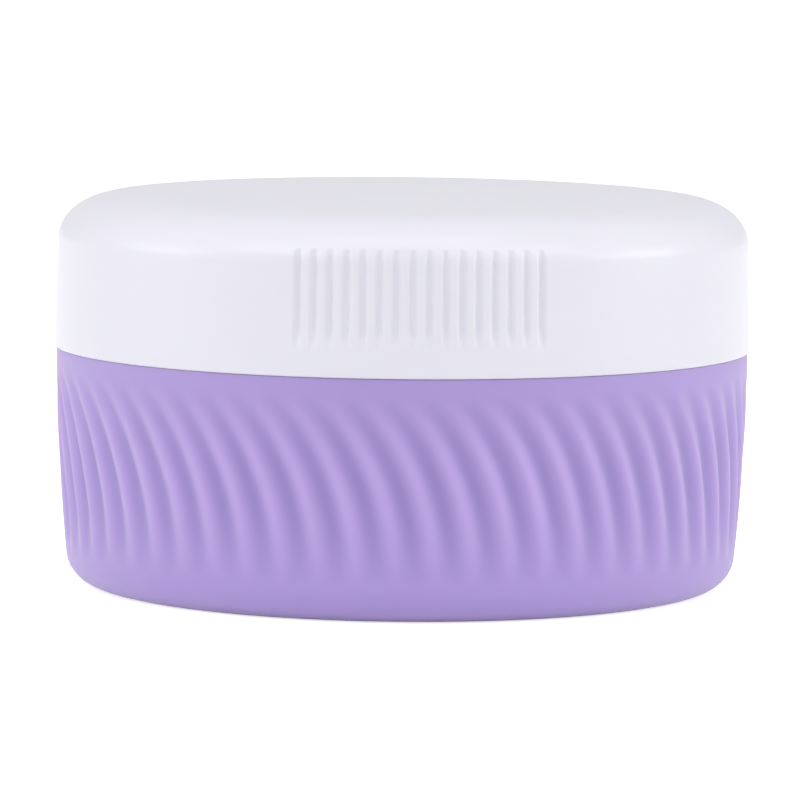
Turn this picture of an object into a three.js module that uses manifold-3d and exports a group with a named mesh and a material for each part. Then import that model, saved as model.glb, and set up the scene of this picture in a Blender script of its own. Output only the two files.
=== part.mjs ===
// A low round travel jar with a screw lid.
// A soft wavy silicone cup holds a hard threaded neck collar. The lid is a white outer shell
// over a threaded inner cap, with a flat seal between the inner cap and the neck.
// Millimetres, +Z up, origin at the centre of the base, front towards -Y, lid closed.
// An azimuth is in degrees from the front, growing towards +X.

import * as THREE from 'three';
import { mergeVertices } from 'three/addons/utils/BufferGeometryUtils.js';
import Module from 'manifold-3d';

// Clearances
const FIT_GAP = 0.3; // between round walls, one inside the other
const SEAT_GAP = 0.1; // between flat faces that rest on each other
const SEAM_GAP = 0.1; // between the cup's rim and the lid's lower edge
const RUN_GAP = 0.25; // between the lid's hidden edges and the collar flange below them

// Cup, outside
const RIM_RADIUS = 30;
const CUP_HEIGHT = 20.5;
const WALL_ARC_RADIUS = 174; // the wall is upright at the rim and leans in towards the base
const RIM_EDGE_RADIUS = 0.3;
const BASE_CORNER_RADIUS = 2.9;
const FOOT_RING_WIDTH = 4;
const FOOT_RING_HEIGHT = 0.5;

// Waves moulded into the cup's wall
const WAVE_COUNT = 58;
const WAVE_DEPTH = 0.6;
const WAVE_TOP_BAND = 1.4; // plain wall between the waves and the rim
const WAVE_BOTTOM_BAND = 3.05; // plain wall between the base and the waves
const WAVE_LEAN = 6.05; // how far a wave runs sideways, as an arc that is upright at its lower end
const WAVE_AZIMUTH = -0.7; // where a crest starts at its lower end

// Cup, inside
const FLOOR_THICKNESS = 2.4;
const FLOOR_CORNER_RADIUS = 5;
const POCKET_WALL = 3.4; // silicone round the collar, at the rim
const LEDGE_WIDTH = 1; // the step that the collar's lower edge stands on

// Neck collar
const COLLAR_DEPTH = 6.5; // how far the collar reaches down into the cup
const COLLAR_BEAD_HEIGHT = 0.7; // the round bead that locks the collar into the cup
const COLLAR_BEAD_RISE = 2; // from the collar's lower edge to the middle of the bead
const FLANGE_THICKNESS = 1;
const FLANGE_CLEARANCE = 0.45; // between the flange's edge and the lid shell
const NECK_WALL = 1.8;
const NECK_EDGE = 0.3; // bevel on the neck's rim

// Screw thread, right-handed, on the neck and in the inner cap
const THREAD_STARTS = 2;
const THREAD_LEAD = 6; // rise of the lid in one turn
const THREAD_HEIGHT = 0.9;
const THREAD_ROOT_WIDTH = 1.5;
const THREAD_CREST_WIDTH = 0.7;
const THREAD_PLAY = 0.3; // between the flanks that pull the lid down
const THREAD_MARGIN = 0.3; // plain wall past each end of a ridge
const THREAD_FADE = 24; // degrees over which a ridge rises at its ends

// Lid shell
const LID_PROUD = 0.15; // how far the lid's lower edge stands out from the rim
const LID_HEIGHT = 13.15;
const LID_DRAFT = 1.4; // degrees that the lid's wall leans in
const LID_EDGE_RADIUS = 0.4;
const SHOULDER_WIDTH = 5.2; // the rounded corner between the lid's wall and its flat top
const SHOULDER_HEIGHT = 3.85;
const SHELL_WALL = 1.5;
const SHELL_TOP = 1.4;
const SNAP_BEAD_HEIGHT = 0.8; // the bead that holds the inner cap in the shell
const SNAP_BEAD_OVERLAP = 0.35; // how far the bead reaches under the inner cap

// Grip grooves in the lid's wall
const GRIP_PATCHES = 2;
const GRIP_GROOVES = 16; // in each patch
const GRIP_PITCH = 1.37;
const GRIP_GROOVE_WIDTH = 0.5;
const GRIP_GROOVE_DEPTH = 0.3;
const GRIP_RISE = 2; // from the lid's lower edge to the grooves' faded ends
const GRIP_FADE = 2; // height over which a groove's lower end fades out
const GRIP_AZIMUTH = 2.9; // middle of the first patch

// Inner cap
const LINER_WALL = 1.2;
const LINER_TOP = 1.1;
const SEAT_STEP = 0.8; // how far the seal's seat lies below the inner cap's ceiling
const PLUG_WALL = 1.2; // the ring that enters the neck
const PLUG_DEPTH = 1.6; // how far the ring reaches below the seal
const DRIVE_TABS = 6; // tabs that fill the breaks in the snap bead, so that the two turn together
const DRIVE_TAB_WIDTH = 5;

// Seal
const SEAL_THICKNESS = 1.1;

// Fineness of the round shapes
const ROUND_STEPS = 48;
const WAVE_STEPS = 4; // round the cup, in one wave
const WAVE_LEVELS = 5; // up the cup, in one wave
const CORNER_STEPS = 3;
const EDGE_STEPS = 2;
const SHOULDER_STEPS = 6;
const BEAD_STEPS = 4;
const THREAD_STEP = 7.5; // degrees
const MERGE_DISTANCE = 1e-4;
const CUT_REACH = 1; // how far a cutter or a joined piece runs past the face that it crosses

const radians = THREE.MathUtils.degToRad;

// Heights, from the base up
const floorHeight = FOOT_RING_HEIGHT + FLOOR_THICKNESS;
const collarBottom = CUP_HEIGHT - COLLAR_DEPTH;
const ledgeHeight = collarBottom - SEAT_GAP;
const collarBeadHeight = collarBottom + COLLAR_BEAD_RISE;
const flangeBottom = CUP_HEIGHT + SEAT_GAP;
const flangeTop = flangeBottom + FLANGE_THICKNESS;
const snapBeadBottom = flangeTop + RUN_GAP;
const snapBeadTop = snapBeadBottom + SNAP_BEAD_HEIGHT;
const linerBottom = snapBeadTop + SEAT_GAP;
const waveBottom = WAVE_BOTTOM_BAND;
const waveTop = CUP_HEIGHT - WAVE_TOP_BAND;

// Heights, from the lid's top down
const lidBottom = CUP_HEIGHT + SEAM_GAP;
const lidTop = lidBottom + LID_HEIGHT;
const shoulderBottom = lidTop - SHOULDER_HEIGHT;
const shellCeiling = lidTop - SHELL_TOP;
const linerTop = shellCeiling - FIT_GAP;
const linerCeiling = linerTop - LINER_TOP;
const sealSeat = linerCeiling - SEAT_STEP;
const sealTop = sealSeat - SEAT_GAP;
const sealBottom = sealTop - SEAL_THICKNESS;
const plugBottom = sealBottom - PLUG_DEPTH;
const neckTop = sealBottom - SEAT_GAP;

// Radii, from the lid's wall inwards
const lidEdgeRadius = RIM_RADIUS + LID_PROUD;
const shoulderRadius = lidRadiusAt(shoulderBottom);
const lidTopRadius = shoulderRadius - SHOULDER_WIDTH;
const linerBore = shoulderRadius - SHELL_WALL - FIT_GAP - LINER_WALL;
const neckCrestRadius = linerBore - FIT_GAP;
const neckRadius = neckCrestRadius - THREAD_HEIGHT;
const linerCrestRadius = linerBore - THREAD_HEIGHT;
const neckBore = neckRadius - NECK_WALL;
const plugRadius = neckBore - FIT_GAP;
const plugBore = plugRadius - PLUG_WALL;
const sealBore = plugRadius + SEAT_GAP;
const sealRadius = linerBore - FIT_GAP;
const snapBeadRadius = linerRadiusAt(linerBottom) - SNAP_BEAD_OVERLAP;
const flangeRadius = shellBoreAt(lidBottom) - FLANGE_CLEARANCE;

// Radii of the cup and of what fits in it
const baseRadius = cupRadiusAt(BASE_CORNER_RADIUS) - BASE_CORNER_RADIUS;
const recessRadius = baseRadius - FOOT_RING_WIDTH;
const pocketRadius = RIM_RADIUS - POCKET_WALL;
const cupBore = pocketRadius - LEDGE_WIDTH;
const collarRadius = pocketRadius - FIT_GAP;

const wasm = await Module();
wasm.setup();

// Outside of the lid's wall, which leans in as it rises
function lidRadiusAt(height) {
  return lidEdgeRadius - (height - lidBottom) * Math.tan(radians(LID_DRAFT));
}

// Inside of the lid shell's wall
function shellBoreAt(height) {
  return lidRadiusAt(height) - SHELL_WALL;
}

// Outside of the inner cap's wall
function linerRadiusAt(height) {
  return shellBoreAt(height) - FIT_GAP;
}

// Outside of the cup's wall, an arc that is upright at the rim
function cupRadiusAt(height) {
  const drop = CUP_HEIGHT - height;
  return RIM_RADIUS - WALL_ARC_RADIUS + Math.sqrt(WALL_ARC_RADIUS ** 2 - drop ** 2);
}

// Points of an elliptic arc from one angle to another, in degrees, both ends included
function arc(centreRadius, centreHeight, width, height, from, to, steps) {
  const points = [];
  for (let i = 0; i <= steps; i++) {
    const angle = radians(from + ((to - from) * i) / steps);
    points.push([centreRadius + width * Math.cos(angle), centreHeight + height * Math.sin(angle)]);
  }
  return points;
}

// Points of a round corner from one angle to another, in degrees
function corner(centreRadius, centreHeight, radius, from, to, steps) {
  return arc(centreRadius, centreHeight, radius, radius, from, to, steps);
}

// A closed mesh as a solid that can be joined and cut
function solidFrom(geometry) {
  geometry.deleteAttribute('normal');
  geometry.deleteAttribute('uv');
  const merged = mergeVertices(geometry, MERGE_DISTANCE);
  return new wasm.Manifold(
    new wasm.Mesh({
      numProp: 3,
      vertProperties: merged.attributes.position.array,
      triVerts: new Uint32Array(merged.index.array),
    }),
  );
}

// A round solid about +Z from its profile of [radius, height] points, outer wall upwards
function turned(profile, steps = ROUND_STEPS) {
  const points = profile.map(([radius, height]) => new THREE.Vector2(radius, height));
  return new THREE.LatheGeometry(points, steps).rotateX(Math.PI / 2);
}

// A round solid whose profile is a closed loop
function turnedRing(profile) {
  return turned([...profile, profile[0]]);
}

// A plate of the given thickness, drawn as [radius, height] points and turned to an azimuth
function radialPlate(outline, thickness, azimuth) {
  const shape = new THREE.Shape(outline.map(([radius, height]) => new THREE.Vector2(radius, height)));
  const plate = new THREE.ExtrudeGeometry(shape, { depth: thickness, bevelEnabled: false });
  plate.translate(0, 0, -thickness / 2).rotateX(Math.PI / 2);
  return plate.rotateZ(radians(azimuth - 90));
}

// A mesh of a finished solid
function piece(name, solid, material) {
  const { vertProperties, triVerts } = solid.getMesh();
  const geometry = new THREE.BufferGeometry();
  geometry.setAttribute('position', new THREE.BufferAttribute(vertProperties, 3));
  geometry.setIndex(new THREE.BufferAttribute(triVerts, 1));
  geometry.computeVertexNormals();
  const mesh = new THREE.Mesh(geometry, material);
  mesh.name = name;
  return mesh;
}

// Sideways run of a wave at a height, in degrees: an arc on the unrolled wall
function waveTurnAt(height) {
  const rise = waveTop - waveBottom;
  const radius = (rise ** 2 + WAVE_LEAN ** 2) / (2 * WAVE_LEAN);
  const along = THREE.MathUtils.clamp(height, waveBottom, waveTop) - waveBottom;
  const sideways = radius - Math.sqrt(radius ** 2 - along ** 2);
  return WAVE_AZIMUTH - THREE.MathUtils.radToDeg(sideways / RIM_RADIUS);
}

// Depth of the valleys at a height, which fades to nothing at both ends of a wave
function waveDepthAt(height) {
  const middle = (waveBottom + waveTop) / 2;
  const share = (height - middle) / (waveTop - middle);
  return WAVE_DEPTH * Math.max(0, 1 - share ** 2);
}

// How far a wave lies in from its crest, as a share of its depth: flat crests and flat valleys
function waveShape(azimuth) {
  const swing = Math.SQRT2 * Math.cos(radians(azimuth * WAVE_COUNT));
  return (1 - THREE.MathUtils.clamp(swing, -1, 1)) / 2;
}

// The cup's outer form: a turned solid whose wall is then pressed into waves
function cupOutside() {
  const profile = [[0, 0]];
  profile.push(...corner(baseRadius, BASE_CORNER_RADIUS, BASE_CORNER_RADIUS, -90, 0, CORNER_STEPS));
  for (let level = 0; level <= WAVE_LEVELS; level++) {
    const height = THREE.MathUtils.lerp(waveBottom, waveTop, level / WAVE_LEVELS);
    profile.push([cupRadiusAt(height), height]);
  }
  const edgeHeight = CUP_HEIGHT - RIM_EDGE_RADIUS;
  const edgeCentre = RIM_RADIUS - RIM_EDGE_RADIUS;
  profile.push(...corner(edgeCentre, edgeHeight, RIM_EDGE_RADIUS, 0, 90, EDGE_STEPS));
  profile.push([0, CUP_HEIGHT]);

  const steps = WAVE_COUNT * WAVE_STEPS;
  const halfStep = 180 / steps;
  const geometry = turned(profile, steps);
  const place = geometry.attributes.position;
  for (let i = 0; i < place.count; i++) {
    const height = place.getZ(i);
    const azimuth = THREE.MathUtils.radToDeg(Math.atan2(place.getX(i), -place.getY(i)));
    const valley = waveDepthAt(height) * waveShape(azimuth - halfStep);
    const radius = Math.hypot(place.getX(i), place.getY(i)) - valley;
    const angle = radians(azimuth - halfStep + waveTurnAt(height));
    place.setXY(i, radius * Math.sin(angle), -radius * Math.cos(angle));
  }
  return solidFrom(geometry);
}

// The space inside the cup, with the pocket and locking groove that take the collar
function cupInside() {
  const cornerCentre = cupBore - FLOOR_CORNER_RADIUS;
  const cornerHeight = floorHeight + FLOOR_CORNER_RADIUS;
  const groove = COLLAR_BEAD_HEIGHT + FIT_GAP;
  const profile = [[0, floorHeight]];
  profile.push(...corner(cornerCentre, cornerHeight, FLOOR_CORNER_RADIUS, -90, 0, CORNER_STEPS));
  profile.push([cupBore, ledgeHeight]);
  profile.push([pocketRadius, ledgeHeight]);
  profile.push(...arc(pocketRadius, collarBeadHeight, COLLAR_BEAD_HEIGHT, groove, -90, 90, BEAD_STEPS));
  profile.push([pocketRadius, CUP_HEIGHT + CUT_REACH]);
  profile.push([0, CUP_HEIGHT + CUT_REACH]);
  return solidFrom(turned(profile));
}

// The shallow recess under the base that leaves a flat foot ring
function baseRecess() {
  const profile = [
    [0, -CUT_REACH],
    [recessRadius, -CUT_REACH],
    [recessRadius, FOOT_RING_HEIGHT],
    [0, FOOT_RING_HEIGHT],
  ];
  return solidFrom(turned(profile));
}

function siliconeCup() {
  return cupOutside().subtract(cupInside()).subtract(baseRecess());
}

// One ridge of the thread, wound up round +Z from a first azimuth and height.
// Its crest lies outside its root on the neck, and inside its root in the inner cap.
function threadRidge(rootRadius, crestRadius, azimuth, bottom, top) {
  const outward = Math.sign(crestRadius - rootRadius);
  const buriedRadius = rootRadius - outward * FIT_GAP;
  const spread = (THREAD_ROOT_WIDTH - THREAD_CREST_WIDTH) / THREAD_HEIGHT;
  const buriedWidth = THREAD_ROOT_WIDTH + spread * FIT_GAP;
  const turn = ((top - bottom) / THREAD_LEAD) * 360;
  const steps = Math.ceil(turn / THREAD_STEP);
  const corners = [];
  for (let i = 0; i <= steps; i++) {
    const along = (turn * i) / steps;
    const middle = bottom + (THREAD_LEAD * along) / 360;
    const fade = Math.min(1, Math.min(along, turn - along) / THREAD_FADE);
    const tip = { radius: THREE.MathUtils.lerp(rootRadius, crestRadius, fade), half: THREAD_CREST_WIDTH / 2 };
    const base = { radius: buriedRadius, half: buriedWidth / 2 };
    const [inner, outer] = outward > 0 ? [base, tip] : [tip, base];
    const section = [
      [inner.radius, middle - inner.half],
      [outer.radius, middle - outer.half],
      [outer.radius, middle + outer.half],
      [inner.radius, middle + inner.half],
    ];
    const angle = radians(azimuth + along);
    for (const [radius, height] of section) {
      corners.push(radius * Math.sin(angle), -radius * Math.cos(angle), height);
    }
  }
  const sides = 4;
  const triangles = [0, 1, 2, 0, 2, 3];
  for (let i = 0; i < steps; i++) {
    for (let side = 0; side < sides; side++) {
      const a = i * sides + side;
      const d = i * sides + ((side + 1) % sides);
      const b = a + sides;
      const c = d + sides;
      triangles.push(a, b, d, c, d, b);
    }
  }
  const last = steps * sides;
  triangles.push(last, last + 2, last + 1, last, last + 3, last + 2);
  const geometry = new THREE.BufferGeometry();
  geometry.setAttribute('position', new THREE.Float32BufferAttribute(corners, 3));
  geometry.setIndex(triangles);
  return solidFrom(geometry);
}

const threadHalf = THREAD_ROOT_WIDTH / 2 + THREAD_MARGIN;
const neckThreadBottom = flangeTop + threadHalf;
const neckThreadTop = neckTop - threadHalf;
const linerThreadBottom = linerBottom + threadHalf;
const linerThreadTop = sealBottom - threadHalf;

// How far the inner cap's ridges lie below the neck's ridges when the flanks pull the lid down
function threadDrop() {
  const slope = (THREAD_ROOT_WIDTH - THREAD_CREST_WIDTH) / 2 / THREAD_HEIGHT;
  return THREAD_ROOT_WIDTH - slope * (linerBore - neckRadius) + THREAD_PLAY;
}

function threadCollar() {
  const profile = [
    [neckBore, collarBottom],
    [collarRadius, collarBottom],
    ...corner(collarRadius, collarBeadHeight, COLLAR_BEAD_HEIGHT, -90, 90, BEAD_STEPS),
    [collarRadius, flangeBottom],
    [flangeRadius, flangeBottom],
    [flangeRadius, flangeTop],
    [neckRadius, flangeTop],
    [neckRadius, neckTop - NECK_EDGE],
    [neckRadius - NECK_EDGE, neckTop],
    [neckBore + NECK_EDGE, neckTop],
    [neckBore, neckTop - NECK_EDGE],
  ];
  let solid = solidFrom(turnedRing(profile));
  for (let start = 0; start < THREAD_STARTS; start++) {
    const azimuth = (360 * start) / THREAD_STARTS;
    solid = solid.add(threadRidge(neckRadius, neckCrestRadius, azimuth, neckThreadBottom, neckThreadTop));
  }
  return solid;
}

function sealGasket() {
  const profile = [
    [sealBore, sealBottom],
    [sealRadius, sealBottom],
    [sealRadius, sealTop],
    [sealBore, sealTop],
  ];
  return solidFrom(turnedRing(profile));
}

// Radial blocks at the places of the drive tabs
function driveBlocks(width) {
  const outline = [
    [linerBore - CUT_REACH, snapBeadBottom],
    [lidEdgeRadius + CUT_REACH, snapBeadBottom],
    [lidEdgeRadius + CUT_REACH, linerBottom + CUT_REACH],
    [linerBore - CUT_REACH, linerBottom + CUT_REACH],
  ];
  const blocks = [];
  for (let i = 0; i < DRIVE_TABS; i++) {
    blocks.push(solidFrom(radialPlate(outline, width, (360 * i) / DRIVE_TABS)));
  }
  return wasm.Manifold.union(blocks);
}

// Tabs below the inner cap's wall
function driveTabs() {
  const profile = [
    [linerBore, snapBeadBottom],
    [linerRadiusAt(linerBottom), snapBeadBottom],
    [linerRadiusAt(linerBottom), linerBottom],
    [linerRadiusAt(linerBottom + FIT_GAP), linerBottom + FIT_GAP],
    [linerBore, linerBottom + FIT_GAP],
  ];
  return solidFrom(turnedRing(profile)).intersect(driveBlocks(DRIVE_TAB_WIDTH));
}

function lidInnerCap() {
  const width = shoulderRadius - SHELL_WALL - FIT_GAP - lidTopRadius;
  const profile = [
    [0, linerCeiling],
    [plugBore, linerCeiling],
    [plugBore, plugBottom],
    [plugRadius, plugBottom],
    [plugRadius, sealSeat],
    [linerBore, sealSeat],
    [linerBore, linerBottom],
    [linerRadiusAt(linerBottom), linerBottom],
    ...arc(lidTopRadius, shoulderBottom, width, linerTop - shoulderBottom, 0, 90, SHOULDER_STEPS),
    [0, linerTop],
  ];
  let solid = solidFrom(turned(profile)).add(driveTabs());
  const lead = ((linerThreadBottom - neckThreadBottom + threadDrop()) / THREAD_LEAD) * 360;
  for (let start = 0; start < THREAD_STARTS; start++) {
    const azimuth = lead + (360 * start) / THREAD_STARTS;
    solid = solid.add(threadRidge(linerBore, linerCrestRadius, azimuth, linerThreadBottom, linerThreadTop));
  }
  return solid;
}

// The bead inside the shell's lower edge, sloped below and broken where the drive tabs pass
function snapBead() {
  const profile = [
    [shellBoreAt(snapBeadBottom) + FIT_GAP, snapBeadBottom],
    [shellBoreAt(snapBeadTop) + FIT_GAP, snapBeadTop],
    [snapBeadRadius, snapBeadTop],
    [snapBeadRadius, (snapBeadBottom + snapBeadTop) / 2],
  ];
  return solidFrom(turnedRing(profile)).subtract(driveBlocks(DRIVE_TAB_WIDTH + 2 * FIT_GAP));
}

// Cutters for one patch of grip grooves, as deep all the way up the wall.
// They fade out below and run out into the shoulder.
function gripCutters(middle) {
  const bottom = lidBottom + GRIP_RISE;
  const fadeTop = bottom + GRIP_FADE;
  const floor = lidRadiusAt(fadeTop) - GRIP_GROOVE_DEPTH;
  const outside = lidEdgeRadius + CUT_REACH;
  const fadeSlope = GRIP_FADE / (lidRadiusAt(bottom) - floor);
  const outline = [
    [floor, fadeTop],
    [outside, bottom - fadeSlope * (outside - lidRadiusAt(bottom))],
    [outside, lidTop],
    [lidRadiusAt(lidTop) - GRIP_GROOVE_DEPTH, lidTop],
  ];
  const pitch = THREE.MathUtils.radToDeg(GRIP_PITCH / shoulderRadius);
  const cutters = [];
  for (let i = 0; i < GRIP_GROOVES; i++) {
    const azimuth = middle + (i - (GRIP_GROOVES - 1) / 2) * pitch;
    cutters.push(solidFrom(radialPlate(outline, GRIP_GROOVE_WIDTH, azimuth)));
  }
  return wasm.Manifold.union(cutters);
}

function lidShell() {
  const innerWidth = shoulderRadius - SHELL_WALL - lidTopRadius;
  const edgeHeight = lidBottom + LID_EDGE_RADIUS;
  const edgeCentre = lidRadiusAt(edgeHeight) - LID_EDGE_RADIUS;
  const profile = [
    [0, shellCeiling],
    ...arc(lidTopRadius, shoulderBottom, innerWidth, shellCeiling - shoulderBottom, 90, 0, SHOULDER_STEPS),
    [shellBoreAt(lidBottom), lidBottom],
    ...corner(edgeCentre, edgeHeight, LID_EDGE_RADIUS, -90, 0, EDGE_STEPS),
    ...arc(lidTopRadius, shoulderBottom, SHOULDER_WIDTH, SHOULDER_HEIGHT, 0, 90, SHOULDER_STEPS),
    [0, lidTop],
  ];
  let solid = solidFrom(turned(profile)).add(snapBead());
  for (let patch = 0; patch < GRIP_PATCHES; patch++) {
    solid = solid.subtract(gripCutters(GRIP_AZIMUTH + (360 * patch) / GRIP_PATCHES));
  }
  return solid;
}

const lilacSilicone = new THREE.MeshStandardMaterial({ color: 0xb29bd9, roughness: 0.5, metalness: 0 });
const whitePlastic = new THREE.MeshStandardMaterial({ color: 0xe6e5f3, roughness: 0.3, metalness: 0 });
const clearSilicone = new THREE.MeshStandardMaterial({ color: 0xe3e3e6, roughness: 0.5, metalness: 0 });

const jar = new THREE.Group();
jar.add(piece('silicone_cup', siliconeCup(), lilacSilicone));
jar.add(piece('thread_collar', threadCollar(), whitePlastic));

const lid = new THREE.Group();
lid.add(piece('seal_gasket', sealGasket(), clearSilicone));
lid.add(piece('lid_inner_cap', lidInnerCap(), whitePlastic));
lid.add(piece('lid_shell', lidShell(), whitePlastic));

const travelJar = new THREE.Group();
travelJar.add(jar, lid);

export default travelJar;
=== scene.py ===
"""A low round travel jar: a wavy lilac silicone cup under a white screw lid.

Run as a script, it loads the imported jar, builds each piece as a fine mesh with its own material,
sets the stage, the lamps and the camera.
Lengths are in metres, and angles in radians where nothing says degrees.
An azimuth runs from the front, -Y, towards +X.
"""

import math
from collections import namedtuple

import bpy
from mathutils import Matrix, Vector


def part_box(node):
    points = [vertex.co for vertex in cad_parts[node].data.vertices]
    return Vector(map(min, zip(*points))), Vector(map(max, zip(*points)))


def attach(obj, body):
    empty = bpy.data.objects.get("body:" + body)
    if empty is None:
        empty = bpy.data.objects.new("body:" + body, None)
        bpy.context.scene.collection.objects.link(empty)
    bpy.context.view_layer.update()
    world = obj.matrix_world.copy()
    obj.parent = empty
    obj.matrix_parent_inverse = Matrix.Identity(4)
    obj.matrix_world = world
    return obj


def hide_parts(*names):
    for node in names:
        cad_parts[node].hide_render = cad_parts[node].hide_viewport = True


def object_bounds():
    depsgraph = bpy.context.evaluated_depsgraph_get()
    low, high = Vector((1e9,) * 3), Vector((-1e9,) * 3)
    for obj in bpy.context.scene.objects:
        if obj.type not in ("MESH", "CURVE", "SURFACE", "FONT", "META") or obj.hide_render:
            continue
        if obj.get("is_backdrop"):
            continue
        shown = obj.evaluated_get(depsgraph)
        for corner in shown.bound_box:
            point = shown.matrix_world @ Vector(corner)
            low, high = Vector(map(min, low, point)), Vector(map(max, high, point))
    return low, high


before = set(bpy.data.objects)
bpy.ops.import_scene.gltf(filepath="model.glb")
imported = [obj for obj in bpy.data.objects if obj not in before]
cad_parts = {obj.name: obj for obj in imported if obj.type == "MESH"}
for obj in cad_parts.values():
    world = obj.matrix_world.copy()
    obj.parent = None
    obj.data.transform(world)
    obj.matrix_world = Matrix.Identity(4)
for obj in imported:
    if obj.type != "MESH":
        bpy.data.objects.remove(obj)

bl_info = {
    "name": "Travel jar",
    "version": (1, 0, 0),
    "blender": (4, 5, 0),
    "location": "3D View > Sidebar > Travel jar",
    "description": "Builds a lilac silicone travel jar with a white screw lid",
    "category": "Object",
}

MM = 0.001
TURN = 2 * math.pi

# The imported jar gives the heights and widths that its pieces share
CAD_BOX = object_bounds()
CUP_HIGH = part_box("silicone_cup")[1]
COLLAR_LOW, COLLAR_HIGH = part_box("thread_collar")
SEAL_LOW, SEAL_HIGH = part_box("seal_gasket")
LINER_LOW, LINER_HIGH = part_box("lid_inner_cap")
SHELL_LOW, SHELL_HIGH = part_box("lid_shell")

# Clearances between the pieces
FIT_GAP = 0.3 * MM
SEAT_GAP = 0.1 * MM
# The seam under the lid shows as a hairline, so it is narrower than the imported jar's
SEAM_GAP = 0.02 * MM

# Fineness of the meshes
WAVE_COLUMNS = 10
WAVE_LEVELS = 44
ROUND_COLUMNS = 240
THREAD_COLUMNS = 320
THREAD_LEVELS = 60
GROOVE_COLUMNS = 14
FADE_STEPS = 12
CORNER_STEPS = 10
EDGE_STEPS = 4
SHOULDER_STEPS = 44
SHARP_ANGLE = math.radians(40)

# The number that a mesh's vertices carry for painted shade, darker in the valleys and paler on the
# crests
PAINTED_SHADE = "painted_shade"


def length(name, description, default):
    """A size that a user may change, in metres."""
    return bpy.props.FloatProperty(
        name=name, description=description, default=default, unit="LENGTH", precision=5
    )


def angle(name, description, degrees):
    """An angle that a user may change."""
    return bpy.props.FloatProperty(
        name=name, description=description, default=math.radians(degrees), subtype="ANGLE"
    )


def count(name, description, default):
    """A number of like features that a user may change."""
    return bpy.props.IntProperty(name=name, description=description, default=default, min=1)


def share(name, description, default):
    """A share from 0 to 1 that a user may change."""
    return bpy.props.FloatProperty(
        name=name, description=description, default=default, subtype="FACTOR", min=0, max=1
    )


def linear(hex_colour):
    """An sRGB hex colour as linear red, green and blue."""
    channels = [int(hex_colour[i : i + 2], 16) / 255 for i in (0, 2, 4)]
    return tuple(c / 12.92 if c <= 0.04045 else ((c + 0.055) / 1.055) ** 2.4 for c in channels)


def colour(name, description, hex_colour):
    """A colour that a user may change."""
    return bpy.props.FloatVectorProperty(
        name=name, description=description, default=linear(hex_colour), subtype="COLOR", min=0, max=1
    )


class CupSizes(bpy.types.PropertyGroup):
    """Sizes of the silicone cup."""

    rim_radius: length("Rim radius", "Outside of the cup at its rim", CUP_HIGH.x)
    height: length("Height", "Base to rim", CUP_HIGH.z)
    wall_arc_radius: length("Wall arc", "Radius of the wall's lean, upright at the rim", 174 * MM)
    rim_edge: length("Rim edge", "Radius of the rim's outer edge", 0.08 * MM)
    base_corner: length("Base corner", "Radius of the edge under the wall", 2.9 * MM)
    foot_width: length("Foot width", "Width of the foot ring", 4 * MM)
    foot_height: length("Foot height", "Depth of the recess inside the foot ring", 0.5 * MM)
    floor: length("Floor", "Thickness of the floor", 2.4 * MM)
    floor_corner: length("Floor corner", "Radius between the floor and the inner wall", 5 * MM)
    pocket_wall: length("Pocket wall", "Silicone round the collar, at the rim", 3.4 * MM)
    ledge_width: length("Ledge", "Step that the collar stands on", 1 * MM)
    wave_count: count("Waves", "Waves round the wall", 58)
    wave_depth: length("Wave depth", "Crest to valley at mid height", 0.6 * MM)
    wave_top_band: length("Top band", "Plain wall under the rim", 1.4 * MM)
    wave_bottom_band: length("Bottom band", "Plain wall above the base", 3.05 * MM)
    wave_lean: length("Wave lean", "Sideways run of a wave, as an arc upright below", 6.05 * MM)
    wave_azimuth: angle("Wave azimuth", "Where a crest starts at its lower end", -0.7)
    crest_softness: share("Crest softness", "0 for sharp crests between round valleys", 0.8)


class NeckSizes(bpy.types.PropertyGroup):
    """Sizes of the neck collar and of the thread that it shares with the inner cap."""

    wall: length("Neck wall", "Thickness of the neck", 1.8 * MM)
    flange: length("Flange", "Thickness of the flange on the rim", 1 * MM)
    bead: length("Locking bead", "Height of the bead that locks the collar in the cup", 0.7 * MM)
    bead_rise: length("Bead rise", "Collar's lower edge to the middle of the bead", 2 * MM)
    edge: length("Neck edge", "Radius on the neck's rim", 0.3 * MM)
    starts: count("Thread starts", "Ridges of the thread", 2)
    lead: length("Thread lead", "Rise of the lid in one turn", 6 * MM)
    ridge_height: length("Ridge height", "Root to crest of the thread", 0.9 * MM)
    root_width: length("Ridge root", "Width of a ridge at its root", 1.5 * MM)
    crest_width: length("Ridge crest", "Width of a ridge at its crest", 0.7 * MM)
    play: length("Thread play", "Gap between the flanks that pull the lid down", 0.3 * MM)
    margin: length("Thread margin", "Plain wall past each end of a ridge", 0.3 * MM)
    fade: angle("Thread fade", "Turn over which a ridge rises at its ends", 24)


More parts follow.
